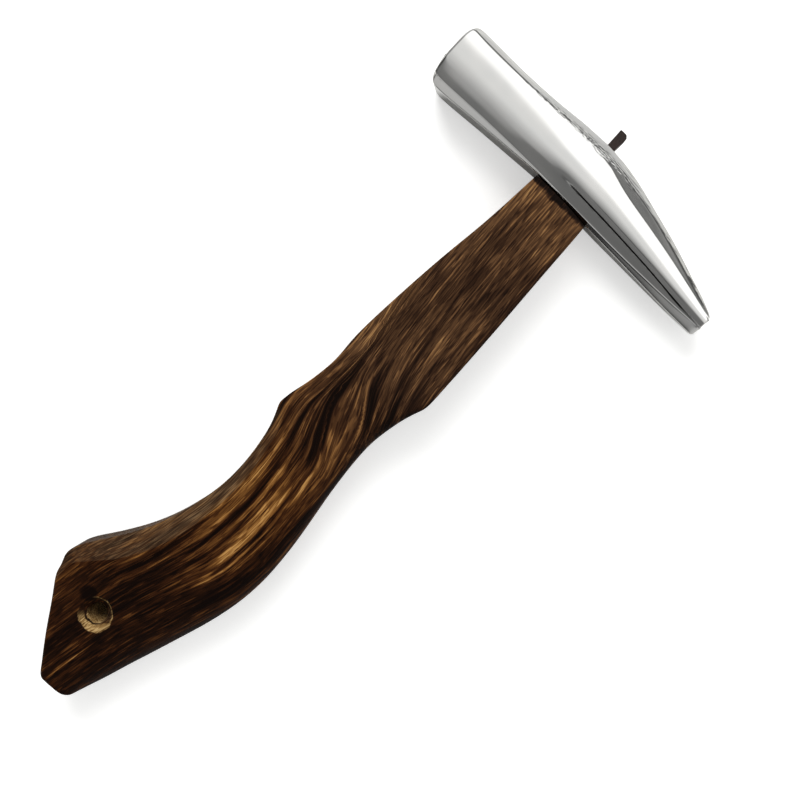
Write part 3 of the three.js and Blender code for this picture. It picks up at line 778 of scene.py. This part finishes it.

# %% [markdown]
# A few streaks catch the eye, such as the thin golden line along the grip. Noise never puts them in the right place,
# so they are placed one by one, each as a band across the board that begins and ends softly. They wander a little.

# %% Streaks that stand out
# Across the board, half width, from and to along the hammer, in millimetres, then how much lighter
STREAKS = [
    (0.0, 0.85, -74, -2, 0.6),  # the thin golden line that bounds the grip's flat
    (-1.3, 1.1, -74, -56, 0.34),
    (-1.4, 0.8, -106, -66, 0.2),
    (-7.7, 1.5, -66, -14, 0.24),  # the broad golden band
    (-3.0, 1.5, -64, -22, 0.4),
    (-7.8, 0.8, -95, -60, 0.14),
    (-11.4, 0.9, -40, -8, 0.2),
    (-9.7, 1.0, -64, -6, -0.22),
    (-4.9, 1.3, -108, -46, -0.26),
    (-3.1, 1.2, -20, 14, -0.26),  # dark flames between golden ones
    (2.6, 0.9, -2, 24, -0.24),
    (7.4, 0.9, 2, 30, -0.2),
    (4.8, 0.9, 6, 28, 0.2),
    (0.6, 0.9, -8, 18, 0.24),
    (-1.2, 0.6, -12, 24, 0.22),
    (-0.2, 0.6, -12, 26, -0.26),
    (-5.2, 0.7, -16, 22, -0.2),
    (-6.6, 0.6, -14, 24, 0.16),
    (6.1, 0.6, 2, 30, -0.2),
    (9.2, 0.7, 4, 32, 0.16),
    (-0.4, 0.9, -134, -108, 0.5),
    (-22.0, 7.0, -112, -82, 0.14),  # the redder corner beside the hole
    (6.1, 0.5, 49, 60, 0.45),  # one bright fleck below the head
]
STREAK_FADE = 9.0
STREAK_WANDER = 2.4
wander = add(tree, "ShaderNodeMath", {0: noise["drift"], 1: STREAK_WANDER, 2: axes.outputs["X"]},
             operation="MULTIPLY_ADD")
for across, half, low, high, lighter in STREAKS:
    parts = []
    for value, middle, reach, fade in ((wander.outputs[0], across + STREAK_WANDER / 2, half, half),
                                       (axes.outputs["Y"], (low + high) / 2, (high - low) / 2, STREAK_FADE)):
        away = add(tree, "ShaderNodeMath", {0: value, 1: middle}, operation="SUBTRACT")
        away = add(tree, "ShaderNodeMath", {0: away.outputs[0]}, operation="ABSOLUTE")
        parts.append(add(tree, "ShaderNodeMapRange", {"Value": away.outputs[0], "From Min": reach,
                                                      "From Max": reach - min(fade, reach)},
                         interpolation_type="SMOOTHSTEP").outputs[0])
    part = add(tree, "ShaderNodeMath", {0: parts[0], 1: parts[1]}, operation="MULTIPLY")
    tone = add(tree, "ShaderNodeMath", {0: part.outputs[0], 1: lighter, 2: tone}, operation="MULTIPLY_ADD").outputs[0]
print("streaks placed by hand:", len(STREAKS))

# %% [markdown]
# Four marks shift the tone from place to place. The round under the fingers faces away from the softbox and gets a
# painted shade. The rounded edges get a painted highlight and are lighter. The end under the head is burnt dark, and
# darker still by a painted shadow along the joint with the steel. A thong has left a stain beside the hang hole. The
# burn with its shadow and the stain have uneven outlines, so a noise of 2.6 mm pushes them in and out.

# %% Painted shade and highlight, and stained places
# How much of the surface's direction is +X where the painted shade on the round under the fingers begins and is
# full, and how much darker
FINGER_FROM, FINGER_FULL, FINGER_SHADE = 0.04, 0.3, 0.05
# Painted highlight on the rounded edges of the wood
EDGE_HIGHLIGHT = 0.1
# The end under the head is burnt dark, with a painted shadow along the joint with the steel
BURN_AND_SHADOW_FROM, BURN_AND_SHADOW_FULL, BURN_AND_SHADOW_DARKER = 101.2, 102.6, 0.7  # along the hammer, in millimetres
STAIN_REACH, STAIN_FULL, STAIN_DARKER = 4.4 * MM, 2.2 * MM, 0.4  # from its middle
OUTLINE_SIZE = {"outline": ((2.6, 2.6, 2.6), 2)}
BURN_AND_SHADOW_UNEVEN, ROUND_UNEVEN = 3.0, 1.6 * MM  # how far the noise moves the burn's edge, and the round outlines
HOLE_AT = eye + Vector((*HOLE_CENTRE, 0)) * MM
STAIN_AT = HOLE_AT + Vector((-6.4, 3.4, 0)) * MM
where = add(tree, "ShaderNodeTexCoord").outputs["Object"]
facing = add(tree, "ShaderNodeSeparateXYZ", {0: add(tree, "ShaderNodeNewGeometry").outputs["Normal"]}).outputs["X"]
outline = add_noises(tree, where, OUTLINE_SIZE, 1 / MM)["outline"]
rounded_edge = add(tree, "ShaderNodeAttribute", attribute_name="rounded_edge").outputs["Fac"]
aways, radii = [], []
for middle in (HOLE_AT, STAIN_AT):
    away = add(tree, "ShaderNodeVectorMath", {0: where, 1: middle}, operation="SUBTRACT")
    away = add(tree, "ShaderNodeVectorMath", {0: away.outputs[0], 1: (1, 1, 0)}, operation="MULTIPLY")
    aways.append(away.outputs[0])
    away = add(tree, "ShaderNodeVectorMath", {0: away.outputs[0]}, operation="LENGTH")
    radii.append(add(tree, "ShaderNodeMath", {0: outline, 1: ROUND_UNEVEN, 2: away.outputs["Value"]},
                     operation="MULTIPLY_ADD").outputs[0])
burn_and_shadow = add(tree, "ShaderNodeMath", {0: outline, 1: BURN_AND_SHADOW_UNEVEN, 2: axes.outputs["Y"]}, operation="MULTIPLY_ADD")
for value, none, full, lighter in ((facing, FINGER_FROM, FINGER_FULL, -FINGER_SHADE),
                                   (rounded_edge, 0.0, 1.0, EDGE_HIGHLIGHT),
                                   (burn_and_shadow.outputs[0], BURN_AND_SHADOW_FROM, BURN_AND_SHADOW_FULL, -BURN_AND_SHADOW_DARKER),
                                   (radii[1], STAIN_REACH, STAIN_FULL, -STAIN_DARKER)):
    part = add(tree, "ShaderNodeMapRange", {"Value": value, "From Min": none, "From Max": full},
               interpolation_type="SMOOTHSTEP")
    tone = add(tree, "ShaderNodeMath", {0: part.outputs[0], 1: lighter, 2: tone}, operation="MULTIPLY_ADD").outputs[0]
print("hole and stain in mm:", *([round(v / MM, 1) for v in place] for place in (HOLE_AT, STAIN_AT)))

# %% [markdown]
# The countersink of the hang hole was cut deeper towards the butt. There the raw wood lies open in a broad crescent,
# on the far side only in a thin arc, and on the side under the stain it is covered by painted shade. So the raw wood
# lies between two radii, and both depend on the direction from the hole's centre. Towards the butt the bore's wall
# gets painted light, in the pale colours of raw wood.

# %% Raw wood, painted shade and painted light of the hang hole
OPEN_TOWARDS = Vector((0.2, -0.98, 0))
CLOSED = -0.2  # how much of the direction is towards the open side, where the arc is thinnest
# The same where the arc is widest, then the radius where it is thinnest and where it is widest
INNER_OPEN, INNER_RADII = 0.5, (6.1 * MM, 5.0 * MM)
OUTER_OPEN, OUTER_RADII = 0.9, (6.8 * MM, 7.4 * MM)
RIM_SOFT = 0.35 * MM
# Painted shade: towards -X the raw wood gives way to the dark stained colour
HOLE_SHADE_FULL, HOLE_SHADE_NONE = -0.85, -0.35  # how much of the direction is +X where the wood is dirty, and where it is clean
WALL_FROM, WALL_FULL = 4.7 * MM, 4.4 * MM  # distance from the hole's centre
# How much of the direction is towards the open side where the painted light on the wall begins and is full, and how
# strong it is
WALL_LIGHT_FROM, WALL_LIGHT_FULL, WALL_LIGHT_MOST = 0.1, 0.7, 0.9
heading = add(tree, "ShaderNodeVectorMath", {0: aways[0]}, operation="NORMALIZE").outputs[0]
open_side = add(tree, "ShaderNodeVectorMath", {0: heading, 1: OPEN_TOWARDS}, operation="DOT_PRODUCT").outputs["Value"]
heading = add(tree, "ShaderNodeSeparateXYZ", {0: heading}).outputs["X"]
inner, outer = (add(tree, "ShaderNodeMapRange", {"Value": open_side, "From Min": CLOSED, "From Max": widest,
                                                 "To Min": thin, "To Max": wide}).outputs[0]
                for widest, (thin, wide) in ((INNER_OPEN, INNER_RADII), (OUTER_OPEN, OUTER_RADII)))
# Painted shade on the side towards -X
raw_and_lit = add(tree, "ShaderNodeMapRange", {"Value": heading, "From Min": HOLE_SHADE_FULL, "From Max": HOLE_SHADE_NONE}).outputs[0]
for larger, smaller in ((radii[0], inner), (outer, radii[0])):
    gap = add(tree, "ShaderNodeMath", {0: larger, 1: smaller}, operation="SUBTRACT")
    part = add(tree, "ShaderNodeMapRange", {"Value": gap.outputs[0], "From Min": 0.0, "From Max": RIM_SOFT})
    raw_and_lit = add(tree, "ShaderNodeMath", {0: raw_and_lit, 1: part.outputs[0]}, operation="MULTIPLY").outputs[0]
# Painted light on the bore's wall, on the open side
wall = add(tree, "ShaderNodeMapRange", {"Value": radii[0], "From Min": WALL_FROM, "From Max": WALL_FULL})
wall_light = add(tree, "ShaderNodeMapRange", {"Value": open_side, "From Min": WALL_LIGHT_FROM, "From Max": WALL_LIGHT_FULL,
                                             "To Max": WALL_LIGHT_MOST})
wall = add(tree, "ShaderNodeMath", {0: wall.outputs[0], 1: wall_light.outputs[0]}, operation="MULTIPLY")
raw_and_lit = add(tree, "ShaderNodeMath", {0: raw_and_lit, 1: wall.outputs[0]}, operation="MAXIMUM").outputs[0]
print("radii of the crescent in mm:", [round(radius / MM, 1) for radius in (*INNER_RADII, *OUTER_RADII)])

# %% [markdown]
# The tone now becomes colour. The neck is greyer and the grip is warmer from oil, so there are two ramps, blended
# along the hammer. Over them lie a pale painted sheen on the palm's bevel, and the raw wood, which nobody stained
# after the drilling, together with the painted light on the hang hole's wall. The finish is thin oil, which hardly
# shines, and the pores and fibres are felt as bumps.

# %% Colours and finish of the wood
# From heartwood black to golden sapwood
NECK_COLOURS = [(0.0, "#0e0704"), (0.2, "#20120a"), (0.35, "#301e12"), (0.5, "#48311f"), (0.65, "#61442b"),
                (0.8, "#805c39"), (1.0, "#aa8352")]
GRIP_COLOURS = [(0.0, "#0c0402"), (0.2, "#1e0d04"), (0.35, "#341a09"), (0.5, "#4c2d13"), (0.65, "#66411d"),
                (0.8, "#885c2d"), (1.0, "#b98a4e")]
# Painted sheen on the palm's bevel, greyish and pale
BEVEL_SHEEN_COLOURS = [(0.3, "#2f2116"), (0.5, "#4a3726"), (0.72, "#7c6245")]
# Raw wood, and the painted light on the hang hole's wall
RAW_AND_LIT_COLOURS = [(0.3, "#54391c"), (0.5, "#8e7045"), (0.7, "#bb9d6c")]
OILED_FROM, OILED_FULL = 25.0, -25.0  # along the hammer, in millimetres
PALM_FROM, PALM_FULL = -0.2, -0.42  # how much of the surface's direction is +X where the bevel begins and is full
PALM_SHEEN_ALONG = [(-95, 0.3), (-75, 0.55), (-50, 0.8), (-28, 0.75), (-4, 0.0)]  # how pale, in millimetres along it
WOOD_ROUGH, ROUGH_SWING, WORN_SMOOTHER = 0.42, 0.3, 0.12
PORE_DEPTH = 0.05 * MM
FIBRE_DEPTH = 0.03 * MM
OIL_SHINE = 0.06
neck, grip, pale, raw_and_lit_colour = (add(tree, "ShaderNodeValToRGB", {0: value}, stops=stops).outputs["Color"]
                         for value, stops in ((tone, NECK_COLOURS), (tone, GRIP_COLOURS),
                                              (noise["fibres"], BEVEL_SHEEN_COLOURS), (noise["fibres"], RAW_AND_LIT_COLOURS)))
oiled = add(tree, "ShaderNodeMapRange", {"Value": axes.outputs["Y"], "From Min": OILED_FROM, "From Max": OILED_FULL})
# Where the surface faces -X, the bevel gets the painted sheen, stronger or weaker along it
palm = add(tree, "ShaderNodeMapRange", {"Value": facing, "From Min": PALM_FROM, "From Max": PALM_FULL})
sheen_along = add(tree, "ShaderNodeValToRGB", {0: height.outputs[0]}, stops=along_wood(PALM_SHEEN_ALONG))
palm = add(tree, "ShaderNodeMath", {0: palm.outputs[0], 1: sheen_along.outputs["Color"]}, operation="MULTIPLY")
colour = neck
for share, over in ((oiled.outputs[0], grip), (palm.outputs[0], pale), (raw_and_lit, raw_and_lit_colour)):
    colour = add(tree, "ShaderNodeMix", {"Factor": share, "A": colour, "B": over}, data_type="RGBA").outputs["Result"]
rough = add(tree, "ShaderNodeMath", {0: noise["streaks"], 1: ROUGH_SWING, 2: WOOD_ROUGH}, operation="MULTIPLY_ADD")
rough = add(tree, "ShaderNodeMath", {0: rounded_edge, 1: -WORN_SMOOTHER, 2: rough.outputs[0]}, operation="MULTIPLY_ADD")
pores = add(tree, "ShaderNodeBump", {"Height": spots["pores"], "Distance": PORE_DEPTH}, invert=True)
fibres = add(tree, "ShaderNodeBump", {"Height": noise["fibres"], "Distance": FIBRE_DEPTH, "Normal": pores.outputs[0]})
shader = add(tree, "ShaderNodeBsdfPrincipled", {"Base Color": colour, "Roughness": rough.outputs[0],
                                                "Specular IOR Level": OIL_SHINE, "Normal": fibres.outputs[0]})
tree.links.new(shader.outputs["BSDF"], output.inputs["Surface"])
handle.data.materials.clear()
handle.data.materials.append(wood)
print("nodes for the wood:", len(tree.nodes))

# %% [markdown]
# The wedge kept the black scale of its forging. It is brown where it began to rust, and bare where the scale was
# knocked off its edges.

# %% Blackened steel
WEDGE_SIZES = {"rust": ((2.4, 2.4, 2.4), 3), "grit": ((0.5, 0.5, 0.5), 2)}
SCALE_COLOURS = [(0.35, "#110c0b"), (0.6, "#1b1412"), (0.75, "#2b1d18")]  # scale, and rust that starts under it
BARE_COLOUR = "#554a47"
SCALE_METALLIC = 0.8  # scale is an oxide, so it mirrors less than bare steel
SCALE_SMOOTH, SCALE_ROUGH = 0.4, 0.65
GRIT_HEIGHT = 0.03 * MM
blackened, tree, output = new_material("blackened_steel")
where = add(tree, "ShaderNodeTexCoord").outputs["Object"]
noise = add_noises(tree, where, WEDGE_SIZES, 1 / MM)
rounded_edge = add(tree, "ShaderNodeAttribute", attribute_name="rounded_edge")
scale = add(tree, "ShaderNodeValToRGB", {0: noise["rust"]}, stops=SCALE_COLOURS)
bare = add(tree, "ShaderNodeMath", {0: rounded_edge.outputs["Fac"], 1: noise["grit"]}, operation="MULTIPLY")
mixed = add(tree, "ShaderNodeMix", {"Factor": bare.outputs[0], "A": scale.outputs["Color"],
                                    "B": linear(BARE_COLOUR)}, data_type="RGBA")
rough = add(tree, "ShaderNodeMapRange", {"Value": noise["grit"], "To Min": SCALE_SMOOTH, "To Max": SCALE_ROUGH})
bump = add(tree, "ShaderNodeBump", {"Height": noise["grit"], "Distance": GRIT_HEIGHT})
shader = add(tree, "ShaderNodeBsdfPrincipled", {"Base Color": mixed.outputs["Result"], "Metallic": SCALE_METALLIC,
                                                "Roughness": rough.outputs[0], "Normal": bump.outputs[0]})
tree.links.new(shader.outputs["BSDF"], output.inputs["Surface"])
wedge.data.materials.append(blackened)
print("nodes for the wedge:", len(tree.nodes))

# %% [markdown]
# The floor is plain and pale. To the camera it is white, because its own light is added to what the lamps give it,
# and the shadow still shows. It lies just clear of the hammer, because two surfaces in one plane would flicker.

# %% Floor
FLOOR_SIZE = 6.0
FLOOR_GAP = 0.1 * MM
FLOOR_GLOW = 0.5
floor_bm = bmesh.new()
bmesh.ops.create_grid(floor_bm, x_segments=1, y_segments=1, size=FLOOR_SIZE / 2)
floor_mesh = bpy.data.meshes.new("floor")
floor_bm.to_mesh(floor_mesh)
floor_bm.free()
floor = bpy.data.objects.new("floor", floor_mesh)
floor.location.z = -FLOOR_GAP
bpy.context.scene.collection.objects.link(floor)
paper, tree, output = new_material("pale_floor")
rays = add(tree, "ShaderNodeLightPath")
lit = add(tree, "ShaderNodeBsdfDiffuse", {"Color": linear("#e6e6e4")})
glow = add(tree, "ShaderNodeEmission", {"Color": (1, 1, 1, 1), "Strength": FLOOR_GLOW})
white = add(tree, "ShaderNodeAddShader", {0: lit.outputs[0], 1: glow.outputs[0]})
mixed = add(tree, "ShaderNodeMixShader", {0: rays.outputs["Is Camera Ray"], 1: lit.outputs[0], 2: white.outputs[0]})
tree.links.new(mixed.outputs[0], output.inputs["Surface"])
floor.data.materials.append(paper)
print("floor in metres:", FLOOR_SIZE, "by", FLOOR_SIZE)

# %% [markdown]
# The light is a soft studio, drawn in the world as bands that follow one direction: a pale wall on the butt side, a
# dim room, a ceiling that grows brighter towards the head side and ends in a wide window, and dark strips beyond it.
# A mirror polished head shows exactly what stands around it, so these bands are what gives its facets their white,
# grey and dark stripes. Seen directly, the room is plain white.

# %% World
# Brightness of the room against the direction's share of Y, from the butt side to the head side
ROOM = [(-1.0, 0.02), (-0.96, 0.03), (-0.93, 0.16), (-0.89, 0.6), (-0.72, 0.68), (-0.66, 0.5), (-0.61, 0.25),
        (-0.5, 0.18), (-0.1, 0.22), (-0.072, 0.22), (-0.05, 0.32), (-0.029, 0.4), (-0.005, 0.5), (0.016, 0.58),
        (0.038, 0.66), (0.062, 0.78), (0.086, 0.85), (0.107, 0.94), (0.15, 1.03), (0.197, 1.02), (0.245, 1.1),
        (0.285, 1.7), (0.5, 1.7), (0.56, 0.1), (0.64, 0.12), (0.68, 0.34), (0.71, 0.16), (0.75, 0.4), (0.81, 0.26),
        (0.86, 0.08), (0.93, 0.05), (0.98, 0.85)]
# Past the striking face the room is dimmer, which draws the thin grey line along the face's rim
DIM_FROM, DIM_FULL, DIMMED = -0.5, -0.66, 0.36
BRIGHTEST = max(value for y, value in ROOM)
world = bpy.data.worlds.new("studio")
bpy.context.scene.world = world
world.use_nodes = True
tree = world.node_tree
tree.nodes.clear()
output = tree.nodes.new("ShaderNodeOutputWorld")
where = add(tree, "ShaderNodeTexCoord")
axes = add(tree, "ShaderNodeSeparateXYZ", {0: where.outputs["Generated"]})
span = add(tree, "ShaderNodeMapRange", {"Value": axes.outputs["Y"], "From Min": -1.0, "From Max": 1.0})
room = add(tree, "ShaderNodeValToRGB", {0: span.outputs[0]},
           stops=[((y + 1) / 2, value / BRIGHTEST) for y, value in ROOM])
dim = add(tree, "ShaderNodeMapRange", {"Value": axes.outputs["X"], "From Min": DIM_FROM, "From Max": DIM_FULL,
                                       "To Min": BRIGHTEST, "To Max": BRIGHTEST * DIMMED})
ray = add(tree, "ShaderNodeLightPath")
lit = add(tree, "ShaderNodeBackground", {"Color": room.outputs["Color"], "Strength": dim.outputs[0]})
seen = add(tree, "ShaderNodeBackground", {"Color": (1, 1, 1, 1), "Strength": 1.0})
mixed = add(tree, "ShaderNodeMixShader", {0: ray.outputs["Is Camera Ray"], 1: lit.outputs[0], 2: seen.outputs[0]})
tree.links.new(mixed.outputs[0], output.inputs["Surface"])
print("bands of the room:", len(ROOM), "brightest:", BRIGHTEST)

# %% [markdown]
# One large softbox stands beyond the striking face, above the bench. It lights the wood from the side and casts the
# soft shadow. It could be a bright patch in the world, but then the steel would mirror it. So it is a lamp that glossy
# rays don't see.

# %% Lamp
SOFTBOX_SIZE = 0.9
SOFTBOX_POWER = 18
SOFTBOX_PLACE = Vector((-0.75, 0.85, 0.85))
lamp_data = bpy.data.lights.new("softbox", "AREA")
lamp_data.shape = "RECTANGLE"
lamp_data.size = SOFTBOX_SIZE
lamp_data.size_y = SOFTBOX_SIZE
lamp_data.energy = SOFTBOX_POWER
lamp = bpy.data.objects.new("softbox", lamp_data)
bpy.context.scene.collection.objects.link(lamp)
lamp.location = SOFTBOX_PLACE
lamp.rotation_euler = (-SOFTBOX_PLACE).to_track_quat("-Z", "Y").to_euler()
lamp.visible_glossy = False
print("softbox at a distance of", round(SOFTBOX_PLACE.length, 2), "m")

# %% [markdown]
# The camera looks down on the hammer from the place where the photograph was taken, 34 cm above the bench and
# slightly towards the butt side. Its up direction turns the hammer to the photograph's diagonal.

# %% Camera
LOOK_AT = Vector((6.4, 21.3, 9.5)) * MM
CAMERA_PLACE = Vector((6.4, 65.94, 348.57)) * MM
CAMERA_UP = Vector((-0.70007, 0.70796, -0.09321))
SENSOR_WIDTH, LENS = 36, 47.25  # in millimetres
NEAREST = 0.01
camera_data = bpy.data.cameras.new("camera")
camera_data.sensor_width = SENSOR_WIDTH
camera_data.sensor_fit = "HORIZONTAL"
camera_data.lens = LENS
camera_data.clip_start = NEAREST
camera = bpy.data.objects.new("camera", camera_data)
bpy.context.scene.collection.objects.link(camera)
bpy.context.scene.camera = camera
back = (CAMERA_PLACE - LOOK_AT).normalized()
right = CAMERA_UP.cross(back).normalized()
turn = Matrix((right, back.cross(right), back)).transposed()
camera.matrix_world = Matrix.Translation(CAMERA_PLACE) @ turn.to_4x4()
print("camera distance in mm:", round((CAMERA_PLACE - LOOK_AT).length / MM))

# %% [markdown]
# The view transform is Standard, so that a colour shows as it is written.

# %% View settings
bpy.context.scene.view_settings.view_transform = "Standard"
